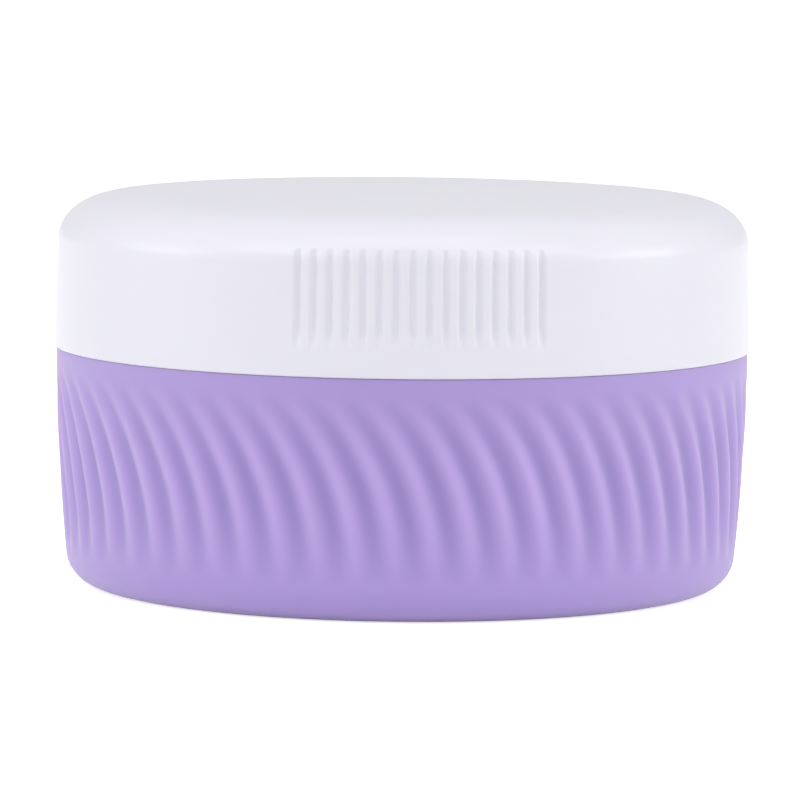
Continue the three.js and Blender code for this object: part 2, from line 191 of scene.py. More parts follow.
class LidSizes(bpy.types.PropertyGroup):
    """Sizes of the lid's shell and inner cap."""

    proud: length("Overhang", "How far the lid's lower edge stands out from the rim", 0.15 * MM)
    draft: angle("Draft", "Lean of the lid's wall", 1.4)
    edge: length("Lower edge", "Radius of the lid's lower edge", 0.15 * MM)
    shoulder_width: length("Shoulder width", "Rounded corner, measured inwards", 5.2 * MM)
    shoulder_height: length("Shoulder height", "Rounded corner, measured down", 3.85 * MM)
    wall: length("Shell wall", "Thickness of the shell's wall", 1.5 * MM)
    top: length("Shell top", "Thickness of the shell's top", 1.4 * MM)
    bead_height: length("Snap bead", "Height of the bead that holds the inner cap", 0.8 * MM)
    bead_overlap: length("Bead overlap", "How far the bead reaches under the inner cap", 0.35 * MM)
    patches: count("Grip patches", "Patches of grooves round the lid", 2)
    grooves: count("Grooves", "Grooves in a patch", 16)
    groove_pitch: length("Groove pitch", "Middle to middle of the grooves", 1.37 * MM)
    groove_width: length("Groove width", "Width of a groove", 0.5 * MM)
    groove_edge: length("Groove edge", "Width of a groove's rounded side", 0.4 * MM)
    groove_depth: length("Groove depth", "Depth of a groove in the wall", 0.3 * MM)
    groove_rise: length("Groove rise", "Lid's lower edge to the grooves' faded ends", 2 * MM)
    groove_fade: length("Groove fade", "Height over which a groove's lower end fades", 2 * MM)
    grip_azimuth: angle("Grip azimuth", "Middle of the first patch", 2.9)
    liner_wall: length("Inner cap wall", "Thickness of the inner cap's wall", 1.2 * MM)
    liner_top: length("Inner cap top", "Thickness of the inner cap's top", 1.1 * MM)
    seat_step: length("Seal seat", "How far the seal's seat lies below the ceiling", 0.8 * MM)
    plug_wall: length("Plug wall", "Thickness of the ring that enters the neck", 1.2 * MM)
    plug_depth: length("Plug depth", "How far that ring reaches below the seal", 1.6 * MM)
    tabs: count("Drive tabs", "Tabs that fill the breaks in the snap bead", 6)
    tab_width: length("Tab width", "Width of a drive tab", 5 * MM)


class JarColours(bpy.types.PropertyGroup):
    """Colours of the four moulded materials and of the stage."""

    # Painted shade and painted highlight: the lilac is painted darker in the valleys and paler on the
    # crests of the waves
    valley: colour("Silicone, valleys", "Lilac in the valleys between the waves", "9F8BCA")
    crest: colour("Silicone, crests", "Lilac on the crests of the waves", "BCA5E0")
    shell: colour("Lid", "White of the lid's shell", "E2E1EC")
    shell_pale: colour("Lid, paler", "White where the lid's shell is paler", "E5E4EE")
    natural: colour("Inner plastic", "Milky white of the neck and the inner cap", "E4E4E8")
    natural_pale: colour("Inner plastic, paler", "Milky white where it is paler", "EAEAED")
    seal: colour("Seal", "Grey white of the seal", "D6D7DC")
    seal_pale: colour("Seal, paler", "Grey white where it is paler", "DEDFE3")
    paper: colour("Paper", "Pale paper of the floor and the backdrop", "F4F4F4")


# Profiles and round meshes

# A point of a profile, with a zone that tells the piece's shape function what to do there
Spot = namedtuple("Spot", "radius height zone", defaults=("plain",))


def arc(centre, reach, start, end, steps, zone="plain"):
    """Spots on an elliptic arc from one angle to another, in degrees, both ends included."""
    spots = []
    for i in range(steps + 1):
        turn = math.radians(start + (end - start) * i / steps)
        radius = centre[0] + reach[0] * math.cos(turn)
        spots.append(Spot(radius, centre[1] + reach[1] * math.sin(turn), zone))
    return spots


def corner(centre, radius, start, end, steps=EDGE_STEPS, zone="plain"):
    """Spots on a round corner from one angle to another, in degrees."""
    return arc(centre, (radius, radius), start, end, steps, zone)


def straight(start, end, steps, zone="plain"):
    """Evenly spaced spots between two points, both ends included."""
    spots = []
    for i in range(steps + 1):
        along = i / steps
        radius = start[0] + (end[0] - start[0]) * along
        spots.append(Spot(radius, start[1] + (end[1] - start[1]) * along, zone))
    return spots


def even_columns(number):
    """Azimuths spaced evenly round the jar."""
    return [TURN * i / number for i in range(number)]


def merged_columns(*lists):
    """All the azimuths of some lists, in order, brought into one turn, with no two alike."""
    least_step = 1e-5
    columns = []
    for azimuth in sorted(a % TURN for azimuths in lists for a in azimuths):
        if not columns or azimuth - columns[-1] > least_step:
            columns.append(azimuth)
    return columns


def unshaped(spot, azimuth):
    """A spot of a plain round piece, left where its profile puts it."""
    return spot.radius, spot.height, azimuth


def band(lower, upper):
    """The faces between two rings of vertices, or between a ring and a point on the axis."""
    faces = []
    number = max(len(lower), len(upper))
    for i in range(number):
        j = (i + 1) % number
        if len(lower) == 1:
            faces.append((lower[0], upper[j], upper[i]))
        elif len(upper) == 1:
            faces.append((lower[i], lower[j], upper[0]))
        else:
            faces.append((lower[i], lower[j], upper[j], upper[i]))
    return faces


def turned_mesh(name, profile, columns, shape=unshaped, closed=False, paint_shade=None):
    """A mesh turned about +Z from a profile whose outer wall runs upwards.

    The shape function moves each spot of the profile at each azimuth. A closed profile is a ring's;
    any other starts and ends on the axis. The paint_shade function gives each vertex its painted
    shade.
    """
    vertices = []
    painted_shades = []
    rings = []
    for spot in profile:
        first = len(vertices)
        for column in columns[:1] if spot.radius <= 0 else columns:
            radius, height, azimuth = shape(spot, column)
            vertices.append((radius * math.sin(azimuth), -radius * math.cos(azimuth), height))
            painted_shades.append(paint_shade(spot, column) if paint_shade else 0)
        rings.append(range(first, len(vertices)))
    faces = []
    for lower, upper in zip(rings, rings[1:]):
        faces += band(lower, upper)
    if closed:
        faces += band(rings[-1], rings[0])
    mesh = bpy.data.meshes.new(name)
    mesh.from_pydata(vertices, [], faces)
    if paint_shade:
        mesh.attributes.new(PAINTED_SHADE, "FLOAT", "POINT").data.foreach_set("value", painted_shades)
    mesh.shade_smooth()
    mesh.set_sharp_from_angle(angle=SHARP_ANGLE)
    return mesh


def add_piece(mesh, material, body, node):
    """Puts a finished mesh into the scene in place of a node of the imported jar."""
    mesh.materials.append(material)
    piece = bpy.data.objects.new(mesh.name, mesh)
    bpy.context.scene.collection.objects.link(piece)
    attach(piece, body)
    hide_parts(node)


def smooth(value):
    """A value held between 0 and 1, with both ends eased."""
    value = min(1, max(0, value))
    return value * value * (3 - 2 * value)


# Sizes that several pieces share


class Fit:
    """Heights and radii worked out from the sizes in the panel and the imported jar."""

    def __init__(self, scene):
        cup, neck, lid = scene.jar_cup, scene.jar_neck, scene.jar_lid
        self.cup, self.neck, self.lid = cup, neck, lid
        self.wave_bottom = cup.wave_bottom_band
        self.wave_top = cup.height - cup.wave_top_band
        self.floor = cup.foot_height + cup.floor
        self.base_radius = self.cup_radius(cup.base_corner) - cup.base_corner
        self.recess_radius = self.base_radius - cup.foot_width
        self.pocket_radius = cup.rim_radius - cup.pocket_wall
        self.cup_bore = self.pocket_radius - cup.ledge_width

        self.lid_bottom, self.lid_top = SHELL_LOW.z, SHELL_HIGH.z
        self.rim_top = self.lid_bottom - SEAM_GAP
        self.lid_edge_radius = cup.rim_radius + lid.proud
        self.shoulder_bottom = self.lid_top - lid.shoulder_height
        self.shoulder_radius = self.lid_radius(self.shoulder_bottom)
        self.lid_top_radius = self.shoulder_radius - lid.shoulder_width
        self.shell_ceiling = self.lid_top - lid.top
        self.groove_bottom = self.lid_bottom + lid.groove_rise

        self.liner_top = LINER_HIGH.z
        self.liner_ceiling = self.liner_top - lid.liner_top
        self.liner_bore = self.shoulder_radius - lid.wall - FIT_GAP - lid.liner_wall
        self.tab_bottom = LINER_LOW.z
        self.liner_bottom = self.tab_bottom + lid.bead_height + SEAT_GAP
        self.seal_bottom, self.seal_top = SEAL_LOW.z, SEAL_HIGH.z
        self.seal_seat = self.liner_ceiling - lid.seat_step
        self.seal_radius = self.liner_bore - FIT_GAP

        self.collar_bottom, self.neck_top = COLLAR_LOW.z, COLLAR_HIGH.z
        self.collar_radius = self.pocket_radius - FIT_GAP
        self.flange_bottom = cup.height + SEAT_GAP
        self.flange_top = self.flange_bottom + neck.flange
        self.flange_radius = COLLAR_HIGH.x
        self.neck_radius = self.liner_bore - FIT_GAP - neck.ridge_height
        self.neck_bore = self.neck_radius - neck.wall
        self.plug_radius = self.neck_bore - FIT_GAP
        self.plug_bore = self.plug_radius - lid.plug_wall
        self.plug_bottom = self.seal_bottom - lid.plug_depth
        self.seal_bore = self.plug_radius + SEAT_GAP

    def cup_radius(self, height):
        """Outside of the cup's wall, an arc that is upright at the rim."""
        arc_radius = self.cup.wall_arc_radius
        drop = self.cup.height - height
        return self.cup.rim_radius - arc_radius + math.sqrt(arc_radius**2 - drop**2)

    def lid_radius(self, height):
        """Outside of the lid's wall, which leans in as it rises."""
        return self.lid_edge_radius - (height - self.lid_bottom) * math.tan(self.lid.draft)

    def shell_bore(self, height):
        """Inside of the lid's shell."""
        return self.lid_radius(height) - self.lid.wall

    def liner_radius(self, height):
        """Outside of the inner cap."""
        return self.shell_bore(height) - FIT_GAP

    def tab_offset(self, azimuth):
        """Distance round the lid from an azimuth to the middle of the nearest drive tab."""
        spacing = TURN / self.lid.tabs
        offset = (azimuth + spacing / 2) % spacing - spacing / 2
        return abs(offset) * self.liner_bore

    def tab_columns(self, width):
        """Pairs of azimuths just inside and outside the sides of tabs of a given width."""
        step = 0.02 * MM
        columns = []
        for i in range(self.lid.tabs):
            middle = TURN * i / self.lid.tabs
            for side in (-1, 1):
                for half in (width / 2 - step, width / 2 + step):
                    columns.append(middle + side * half / self.liner_bore)
        return columns


# Silicone cup


def wave_turn(fit, height):
    """Azimuth of a crest at a height: an arc on the unrolled wall, upright at its lower end."""
    rise = fit.wave_top - fit.wave_bottom
    arc_radius = (rise**2 + fit.cup.wave_lean**2) / (2 * fit.cup.wave_lean)
    along = min(fit.wave_top, max(fit.wave_bottom, height)) - fit.wave_bottom
    sideways = arc_radius - math.sqrt(arc_radius**2 - along**2)
    return fit.cup.wave_azimuth - sideways / fit.cup.rim_radius


def wave_depth(fit, height):
    """Depth of the valleys at a height, which fades to nothing at both ends of a wave."""
    middle = (fit.wave_bottom + fit.wave_top) / 2
    away = (height - middle) / (fit.wave_top - middle)
    return fit.cup.wave_depth * max(0, 1 - away**2)


def cup_profile(fit):
    """Outline of the cup from under its base, up the wall, over the rim and down to its floor."""
    cup = fit.cup
    edge = 0.2 * MM
    recess, foot = fit.recess_radius, cup.foot_height
    spots = [Spot(0, foot)]
    spots += straight((recess / 2, foot), (recess - 2 * edge, foot), steps=2)
    spots += corner((recess - edge, foot - edge), edge, 90, 0)
    spots += corner((recess + edge, edge), edge, 180, 270)
    spots += straight((recess + 2 * edge, 0), (fit.base_radius - edge, 0), steps=2)
    spots += corner((fit.base_radius, cup.base_corner), cup.base_corner, -90, 0, CORNER_STEPS)
    for level in range(WAVE_LEVELS + 1):
        height = fit.wave_bottom + (fit.wave_top - fit.wave_bottom) * level / WAVE_LEVELS
        spots.append(Spot(fit.cup_radius(height), height, "wave"))
    top = fit.rim_top
    rim = (cup.rim_radius - cup.rim_edge, top - cup.rim_edge)
    spots += corner(rim, cup.rim_edge, 0, 90, 2 * EDGE_STEPS, "inside")
    pocket = fit.pocket_radius
    spots += straight((rim[0] - edge, top), (pocket + 2 * edge, top), steps=3, zone="inside")
    spots += corner((pocket + edge, top - edge), edge, 90, 180, zone="inside")
    groove = (pocket, fit.collar_bottom + fit.neck.bead_rise)
    spots += arc(groove, (fit.neck.bead, fit.neck.bead + FIT_GAP), 90, -90, CORNER_STEPS, "inside")
    ledge = fit.collar_bottom - SEAT_GAP
    spots.append(Spot(pocket, ledge, "inside"))
    spots += corner((fit.cup_bore + edge, ledge - edge), edge, 90, 180, zone="inside")
    inner = (fit.cup_bore - cup.floor_corner, fit.floor + cup.floor_corner)
    spots += corner(inner, cup.floor_corner, 0, -90, CORNER_STEPS, "inside")
    floor_start, floor_end = (inner[0] - edge, fit.floor), (inner[0] / 2, fit.floor)
    spots += straight(floor_start, floor_end, steps=2, zone="inside")
    spots.append(Spot(0, fit.floor, "inside"))
    return spots


def valley_share(fit, azimuth):
    """How far into a valley an azimuth lies, from 0 on a crest to 1 in the middle of a valley."""
    soft = fit.cup.crest_softness
    across = math.hypot(math.sin(fit.cup.wave_count * azimuth / 2), soft) - soft
    return across / (math.hypot(1, soft) - soft)


def cup_mesh(fit):
    """The cup, its wall pressed into waves whose crests run along the mesh's columns.

    Its painted shade runs from 0 in the valleys to 1 on the crests, and is halfway where the wall is
    plain.
    """
    plain_painted_shade = 0.5

    def shape(spot, azimuth):
        inside = spot.zone == "inside"
        turn = wave_turn(fit, fit.wave_top if inside else spot.height)
        radius = spot.radius
        if spot.zone == "wave":
            radius -= wave_depth(fit, spot.height) * valley_share(fit, azimuth)
        return radius, spot.height, azimuth + turn

    # Painted shade: the lilac is painted darker in the valleys and paler on the crests, to deepen the
    # waves' shading
    def paint_shade(spot, azimuth):
        if spot.zone != "wave":
            return plain_painted_shade
        swing = math.cos(fit.cup.wave_count * azimuth) / 2
        return plain_painted_shade + swing * wave_depth(fit, spot.height) / fit.cup.wave_depth

    columns = even_columns(fit.cup.wave_count * WAVE_COLUMNS)
    return turned_mesh("wavy_cup", cup_profile(fit), columns, shape, paint_shade=paint_shade)


# Thread


class Thread:
    """The ridges of one thread, wound up round +Z from a first azimuth."""

    def __init__(self, fit, bottom, top, azimuth):
        half = fit.neck.root_width / 2 + fit.neck.margin
        self.neck = fit.neck
        self.bottom = bottom + half
        self.top = top - half
        self.azimuth = azimuth
        self.turn = (self.top - self.bottom) / fit.neck.lead * TURN

    def height_at(self, height, azimuth):
        """How far a ridge stands out of the wall at a place."""
        neck = self.neck
        stands = 0
        for start in range(neck.starts):
            along = (azimuth - self.azimuth - TURN * start / neck.starts) % TURN
            if along > self.turn:
                continue
            middle = self.bottom + neck.lead * along / TURN
            flank = (neck.root_width - neck.crest_width) / 2
            rise = smooth((neck.root_width / 2 - abs(height - middle)) / flank)
            fade = smooth(min(along, self.turn - along) / neck.fade)
            stands = max(stands, neck.ridge_height * rise * fade)
        return stands


def neck_thread(fit):
    """The thread on the neck."""
    return Thread(fit, fit.flange_top, fit.neck_top, 0)


def liner_thread(fit):
    """The thread in the inner cap, just below the neck's ridges when the lid is closed."""
    neck = fit.neck
    own = Thread(fit, fit.liner_bottom, fit.seal_bottom, 0)
    slope = (neck.root_width - neck.crest_width) / 2 / neck.ridge_height
    drop = neck.root_width - slope * (fit.liner_bore - fit.neck_radius) + neck.play
    own.azimuth = (own.bottom - neck_thread(fit).bottom + drop) / neck.lead * TURN
    return own


# Neck collar


def collar_profile(fit):
    """Outline of the collar: up the outside, over the neck's rim and down its bore."""
    neck = fit.neck
    edge = neck.edge
    small = edge / 2
    bottom, collar = fit.collar_bottom, fit.collar_radius
    flange, root = fit.flange_radius, fit.neck_radius
    spots = corner((fit.neck_bore + edge, bottom + edge), edge, 180, 270)
    spots += corner((collar - edge, bottom + edge), edge, -90, 0)
    spots += corner((collar, bottom + neck.bead_rise), neck.bead, -90, 90, CORNER_STEPS)
    spots.append(Spot(collar, fit.flange_bottom))
    spots += corner((flange - small, fit.flange_bottom + small), small, -90, 0)
    spots += corner((flange - edge, fit.flange_top - edge), edge, 0, 90)
    spots += corner((root + small, fit.flange_top + small), small, -90, -180)
    low, high = fit.flange_top + edge, fit.neck_top - 2 * edge
    spots += straight((root, low), (root, high), THREAD_LEVELS, "thread")
    spots += corner((root - edge, fit.neck_top - edge), edge, 0, 90, 2 * EDGE_STEPS)
    spots += corner((fit.neck_bore + edge, fit.neck_top - edge), edge, 90, 180, 2 * EDGE_STEPS)
    spots += straight((fit.neck_bore, high), (fit.neck_bore, bottom + 2 * edge), steps=4)
    return spots


def collar_mesh(fit):
    """The neck collar with its ridges of thread."""
    thread = neck_thread(fit)

    def shape(spot, azimuth):
        radius = spot.radius
        if spot.zone == "thread":
            radius += thread.height_at(spot.height, azimuth)
        return radius, spot.height, azimuth

    columns = even_columns(THREAD_COLUMNS)
    return turned_mesh("neck_collar", collar_profile(fit), columns, shape, closed=True)


# Seal


def seal_mesh(fit):
    """The flat sealing ring, with soft edges."""
    edge = 0.3 * MM
    inner, outer = fit.seal_bore + edge, fit.seal_radius - edge
    low, high = fit.seal_bottom + edge, fit.seal_top - edge
    spots = corner((inner, low), edge, 180, 270)
    spots += corner((outer, low), edge, -90, 0)
    spots += corner((outer, high), edge, 0, 90)
    spots += corner((inner, high), edge, 90, 180)
    return turned_mesh("sealing_ring", spots, even_columns(ROUND_COLUMNS), closed=True)


# Inner cap


def liner_profile(fit):
    """Outline of the inner cap from its ceiling, round the plug ring, down the bore and up outside."""
    lid = fit.lid
    edge = 0.25 * MM
    ceiling, seat = fit.liner_ceiling, fit.seal_seat
    plug_in, plug_out = fit.plug_bore, fit.plug_radius
    bore, bottom = fit.liner_bore, fit.liner_bottom
    # A low stub in the middle, where the plastic entered the mould
    stub_radius, stub_height = 1.5 * MM, 0.25 * MM
    spots = [Spot(0, ceiling - stub_height), Spot(stub_radius - edge, ceiling - stub_height)]
    spots += straight((stub_radius, ceiling), (plug_in - 2 * edge, ceiling), steps=4)
    spots += corner((plug_in - edge, ceiling - edge), edge, 90, 0)
    tip = (plug_out - plug_in) / 2
    spots += corner((plug_in + tip, fit.plug_bottom + tip), tip, 180, 360, CORNER_STEPS)
    spots += corner((plug_out + edge, seat - edge), edge, 180, 90)
    spots += corner((bore - edge, seat - edge), edge, 90, 0)
    spots += straight((bore, seat - 2 * edge), (bore, bottom + 2 * edge), THREAD_LEVELS, "thread")
    spots += corner((bore + edge, bottom + edge), edge, 180, 270, zone="tab")
    outer = fit.liner_radius(bottom)
    spots += corner((outer - edge, bottom + edge), edge, -90, 0, zone="tab")
    spots += straight((outer, bottom + 2 * edge), (outer, bottom + 3 * edge), steps=1)
    shoulder = fit.shoulder_radius - lid.wall - FIT_GAP - fit.lid_top_radius
    rise = fit.liner_top - fit.shoulder_bottom
    centre = (fit.lid_top_radius, fit.shoulder_bottom)
    spots += arc(centre, (shoulder, rise), 0, 90, CORNER_STEPS)
    spots += [Spot(fit.lid_top_radius / 2, fit.liner_top), Spot(0, fit.liner_top)]
    return spots


def liner_mesh(fit):
    """The inner cap with its thread, plug ring and drive tabs."""
    thread = liner_thread(fit)
    drop = fit.liner_bottom - fit.tab_bottom

    def shape(spot, azimuth):
        radius, height = spot.radius, spot.height
        if spot.zone == "thread":
            radius -= thread.height_at(height, azimuth)
        if spot.zone == "tab" and fit.tab_offset(azimuth) < fit.lid.tab_width / 2:
            height -= drop
        return radius, height, azimuth

    columns = merged_columns(even_columns(THREAD_COLUMNS), fit.tab_columns(fit.lid.tab_width))
    return turned_mesh("screw_inner_cap", liner_profile(fit), columns, shape)


# Lid shell


def shell_profile(fit):
    """Outline of the lid's shell from under its ceiling, down inside, and up over the outside."""
    lid = fit.lid
    edge = 0.2 * MM
    flat = fit.lid_top_radius
    centre = (flat, fit.shoulder_bottom)
    inner = (fit.shoulder_radius - lid.wall - flat, fit.shell_ceiling - fit.shoulder_bottom)
    bead_top = fit.liner_bottom - SEAT_GAP
    bead_bottom = bead_top - lid.bead_height
    bead_radius = fit.liner_radius(fit.liner_bottom) - lid.bead_overlap

    def wall(bottom, top, steps):
        return straight((fit.lid_radius(bottom), bottom), (fit.lid_radius(top), top), steps, "wall")

    spots = [Spot(0, fit.shell_ceiling), Spot(flat / 2, fit.shell_ceiling)]
    spots += arc(centre, inner, 90, 0, CORNER_STEPS)
    spots.append(Spot(fit.shell_bore(bead_top), bead_top))
    spots += corner((bead_radius + edge, bead_top - edge), edge, 90, 180, zone="bead")
    spots.append(Spot(bead_radius, (bead_bottom + bead_top) / 2, "bead"))
    spots.append(Spot(fit.shell_bore(bead_bottom), bead_bottom))
    bore = fit.shell_bore(fit.lid_bottom)
    spots += corner((bore + edge, fit.lid_bottom + edge), edge, 180, 270)
    low = fit.lid_bottom + lid.edge
    spots += corner((fit.lid_radius(low) - lid.edge, low), lid.edge, -90, 0, 2 * EDGE_STEPS)
    spots.append(Spot(fit.lid_radius(low + edge), low + edge))
    fade_end = fit.groove_bottom + lid.groove_fade
    spots += wall(fit.groove_bottom, fade_end, FADE_STEPS)
    spots += wall(fade_end + edge, fit.shoulder_bottom - edge, steps=4)
    spots += arc(centre, (lid.shoulder_width, lid.shoulder_height), 0, 90, SHOULDER_STEPS, "wall")
    spots += straight((flat - edge, fit.lid_top), (flat / 2, fit.lid_top), steps=3)
    spots.append(Spot(0, fit.lid_top))
    return spots


def groove_middles(fit):
    """Azimuths of the grip grooves."""
    lid = fit.lid
    pitch = lid.groove_pitch / fit.shoulder_radius
    middles = []
    for patch in range(lid.patches):
        centre = lid.grip_azimuth + TURN * patch / lid.patches
        for i in range(lid.grooves):
            middles.append(centre + (i - (lid.grooves - 1) / 2) * pitch)
    return middles


def groove_columns(fit):
    """Azimuths that are close together across each groove and the lands beside it."""
    pitch = fit.lid.groove_pitch / fit.shoulder_radius
    columns = []
    for middle in groove_middles(fit):
        for i in range(GROOVE_COLUMNS):
            columns.append(middle + pitch * (i / GROOVE_COLUMNS - 0.5))
    return columns


def shell_mesh(fit):
    """The lid's shell with its grip grooves and the broken snap bead inside."""
    lid = fit.lid
    # In the breaks the bead's spots slide down the wall, so that none lies on the spot above it
    slide = 0.05 * MM
    middles = groove_middles(fit)

    def groove_share(azimuth):
        nearest = min(abs((azimuth - m + math.pi) % TURN - math.pi) for m in middles)
        return smooth((lid.groove_width / 2 - nearest * fit.shoulder_radius) / lid.groove_edge + 0.5)

    columns = merged_columns(
        even_columns(ROUND_COLUMNS),
        groove_columns(fit),
        fit.tab_columns(lid.tab_width + 2 * FIT_GAP),
    )
    shares = {column: groove_share(column) for column in columns}

    def shape(spot, azimuth):
        radius, height = spot.radius, spot.height
        if spot.zone == "wall":
            depth = radius - fit.lid_radius(height) + lid.groove_depth
            fade = smooth((height - fit.groove_bottom) / lid.groove_fade)
            radius -= max(0, depth) * shares[azimuth] * fade
        if spot.zone == "bead" and fit.tab_offset(azimuth) < lid.tab_width / 2 + FIT_GAP:
            height -= slide
            radius = fit.shell_bore(height)
        return radius, height, azimuth

    return turned_mesh("grip_lid", shell_profile(fit), columns, shape)


# Materials


def add_node(tree, kind, inputs, **settings):
    """Adds a node with its settings, and links or sets its inputs."""
    node = tree.nodes.new(kind)
    for name, value in settings.items():
        setattr(node, name, value)
    for name, value in inputs.items():
        socket = node.inputs[name]
        if isinstance(value, bpy.types.NodeSocket):
            tree.links.new(value, socket)
        else:
            socket.default_value = value
    return node


def empty_material(name):
    """A new material with nothing in its node tree."""
    material = bpy.data.materials.new(name)
    material.use_nodes = True
    material.node_tree.nodes.clear()
    return material


def moulded(name, dark, pale, roughness, grain, shader_inputs, painted_shade=None):
    """A moulded material: cloudy pigment, uneven gloss and the fine grain of its mould.

    Roughness is a pair, from the glossier to the duller places. Grain is a pair, the size of the
    mould's grain and its height. The painted_shade argument names a number of the mesh by which the
    pigment is painted darker or paler, as painted shade.
    """
    material = empty_material(name)
    tree = material.node_tree
    cloud_size, cloud_detail = 7 * MM, 3
    gloss_size, gloss_detail = 3 * MM, 4
    # The grain is drawn coarser than a real mould's, so that it shows
    grain_size, grain_height = grain
    grain_detail, grain_strength = 2, 0.5
    place = add_node(tree, "ShaderNodeTexCoord", {}).outputs["Object"]
    noises = ((cloud_size, cloud_detail), (gloss_size, gloss_detail), (grain_size, grain_detail))
    clouds, patches, mould = (
        add_node(tree, "ShaderNodeTexNoise", {"Vector": place, "Scale": 1 / size, "Detail": detail})
        for size, detail in noises
    )
    mixture = clouds.outputs["Fac"]
    # Painted shade: the mesh's number moves the pigment towards the dark colour in the valleys and the
    # pale one on the crests
    if painted_shade:
        cloud_share = 0.16
        painted_shade_factor = add_node(tree, "ShaderNodeAttribute", {}, attribute_name=painted_shade).outputs["Fac"]
        clouded = add_node(
            tree, "ShaderNodeMath", {0: mixture, 1: cloud_share, 2: painted_shade_factor}, operation="MULTIPLY_ADD"
        ).outputs["Value"]
        mixture = add_node(
            tree, "ShaderNodeMath", {0: clouded, 1: cloud_share / 2}, operation="SUBTRACT"
        ).outputs["Value"]
    pigment = add_node(
        tree, "ShaderNodeMix", {"Factor": mixture, 6: (*dark, 1), 7: (*pale, 1)}, data_type="RGBA"
    )
    gloss = add_node(
        tree,
        "ShaderNodeMapRange",
        {"Value": patches.outputs["Fac"], "To Min": roughness[0], "To Max": roughness[1]},
    )
    bump = add_node(
        tree,
        "ShaderNodeBump",
        {"Height": mould.outputs["Fac"], "Strength": grain_strength, "Distance": grain_height},
    )
    shader = add_node(
        tree,
        "ShaderNodeBsdfPrincipled",
        {
            "Base Color": pigment.outputs[2],
            "Roughness": gloss.outputs["Result"],
            "Normal": bump.outputs["Normal"],
            **shader_inputs,
        },
    )
    add_node(tree, "ShaderNodeOutputMaterial", {"Surface": shader.outputs["BSDF"]})
    return material


def lilac_silicone(colours):
    """Pigmented silicone rubber, moulded with a satin face."""
    # Light sinks in a little, so the waves' shadows stay soft, and the satin face has no hard shine.
    # The lilac is painted darker in the valleys between the waves and paler on their crests, as
    # painted shade and painted highlight
    return moulded(
        "lilac_silicone",
        colours.valley,
        colours.crest,
        roughness=(0.46, 0.54),
        grain=(0.3 * MM, 0.004 * MM),
        shader_inputs={
            "IOR": 1.41,
            "Sheen Weight": 0.2,
            "Sheen Roughness": 0.5,
            "Subsurface Weight": 0.3,
            "Subsurface Radius": (1.0, 0.8, 1.0),
            "Subsurface Scale": 1.0 * MM,
        },
        painted_shade=PAINTED_SHADE,
    )


def white_polypropylene(colours):
    """Opaque white polypropylene, moulded with a soft gloss."""
    # The faint blue of the white pigment, and broad soft highlights on the shoulder
    return moulded(
        "white_polypropylene",
        colours.shell,
        colours.shell_pale,
        roughness=(0.3, 0.36),
        grain=(0.4 * MM, 0.002 * MM),
        shader_inputs={"IOR": 1.49, "Subsurface Weight": 0.1, "Subsurface Scale": 0.8 * MM},
    )


def natural_polypropylene(colours):
    """Unpigmented polypropylene, moulded matt and milky."""
    # Thin walls look a little see-through, with a duller face than the lid's
    return moulded(
        "natural_polypropylene",
        colours.natural,
        colours.natural_pale,
        roughness=(0.4, 0.48),
        grain=(0.4 * MM, 0.004 * MM),
        shader_inputs={"IOR": 1.49, "Subsurface Weight": 0.3, "Subsurface Scale": 1.5 * MM},
    )


def clear_silicone(colours):
    """Unpigmented silicone rubber, moulded as a flat ring."""
    # Cloudy and soft, greyer than the plastic round it
    return moulded(
        "clear_silicone",
        colours.seal,
        colours.seal_pale,
        roughness=(0.5, 0.6),
        grain=(0.3 * MM, 0.005 * MM),
        shader_inputs={"IOR": 1.41, "Subsurface Weight": 0.4, "Subsurface Scale": 1.0 * MM},
    )


# Stage


def background_rays(tree):
    """A socket that is 1 for the rays that show the background: camera, glossy and transmission."""
    rays = add_node(tree, "ShaderNodeLightPath", {})
    shown = rays.outputs["Is Camera Ray"]
    for kind in ("Is Glossy Ray", "Is Transmission Ray"):
        shown = add_node(
            tree, "ShaderNodeMath", {0: shown, 1: rays.outputs[kind]}, operation="MAXIMUM"
        ).outputs["Value"]
    return shown


def pale_paper(name, colours, lift):
    """Matt white paper that the lamps leave short of white, lifted by a given level where it shows."""
    material = empty_material(name)
    tree = material.node_tree
    paper = add_node(tree, "ShaderNodeBsdfDiffuse", {"Color": (*colours.paper, 1)})
    strength = add_node(
        tree, "ShaderNodeMath", {0: background_rays(tree), 1: lift}, operation="MULTIPLY"
    )
    glow = add_node(tree, "ShaderNodeEmission", {"Strength": strength.outputs["Value"]})
    layers = {0: paper.outputs["BSDF"], 1: glow.outputs["Emission"]}
    both = add_node(tree, "ShaderNodeAddShader", layers)
    add_node(tree, "ShaderNodeOutputMaterial", {"Surface": both.outputs["Shader"]})
    return material


def add_sheet(name, corners, material):
    """A flat sheet of the stage."""
    mesh = bpy.data.meshes.new(name)
    mesh.from_pydata(corners, [], [(0, 1, 2, 3)])
    mesh.materials.append(material)
    sheet = bpy.data.objects.new(name, mesh)
    bpy.context.scene.collection.objects.link(sheet)
    sheet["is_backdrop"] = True


def add_floor(colours):
    """A wide floor under the jar, lifted to white."""
    reach = 3.0
    # Just under the foot ring, so that the two never lie in one plane
    level = -0.02 * MM
    lift = 0.7
    sides = ((-reach, -reach), (reach, -reach), (reach, reach), (-reach, reach))
    corners = [(x, y, level) for x, y in sides]
    add_sheet("studio_floor", corners, pale_paper("white_floor", colours, lift))


def add_backdrop(colours):
    """A greyer sheet behind the jar and above the picture, which the lid's flat top mirrors."""
    half, away, low, high = 1.3, 1.2, 0.05, 1.3
    lift = 0.2
    corners = [(-half, away, low), (half, away, low), (half, away, high), (-half, away, high)]
    add_sheet("studio_backdrop", corners, pale_paper("grey_backdrop", colours, lift))


